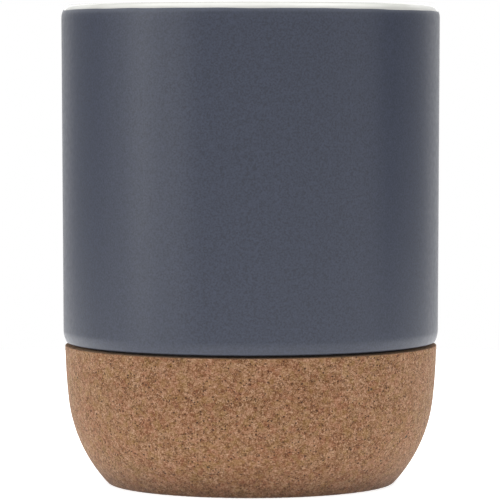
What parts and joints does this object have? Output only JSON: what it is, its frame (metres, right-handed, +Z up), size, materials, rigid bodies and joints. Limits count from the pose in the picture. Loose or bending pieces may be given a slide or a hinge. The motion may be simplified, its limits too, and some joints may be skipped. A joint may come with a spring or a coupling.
{
  "type": "stoneware cup with cork base",
  "caption": "Rigid handle-less stoneware cup, matte slate outside and white gloss inside, glued into a rounded cork base.",
  "frame": {"origin": "centre of the flat bottom of the cork base, on the surface that the cup stands on", "axes": "+Z up along the cup's axis of revolution, out of the mouth; X and Y are any two level directions"},
  "size_m": [0.0798, 0.0798, 0.1012],
  "materials": {
    "stoneware": "matte",
    "white_glaze": "gloss",
    "slate_glaze": "matte",
    "cork": "matte",
    "adhesive": "matte"
  },
  "bodies": {
    "root": {"stoneware_body": "stoneware", "glaze_white_liner": "white_glaze", "glaze_slate_outer": "slate_glaze", "cork_base": "cork", "adhesive_ring": "adhesive", "adhesive_disc": "adhesive"}
  },
  "joints": []
}
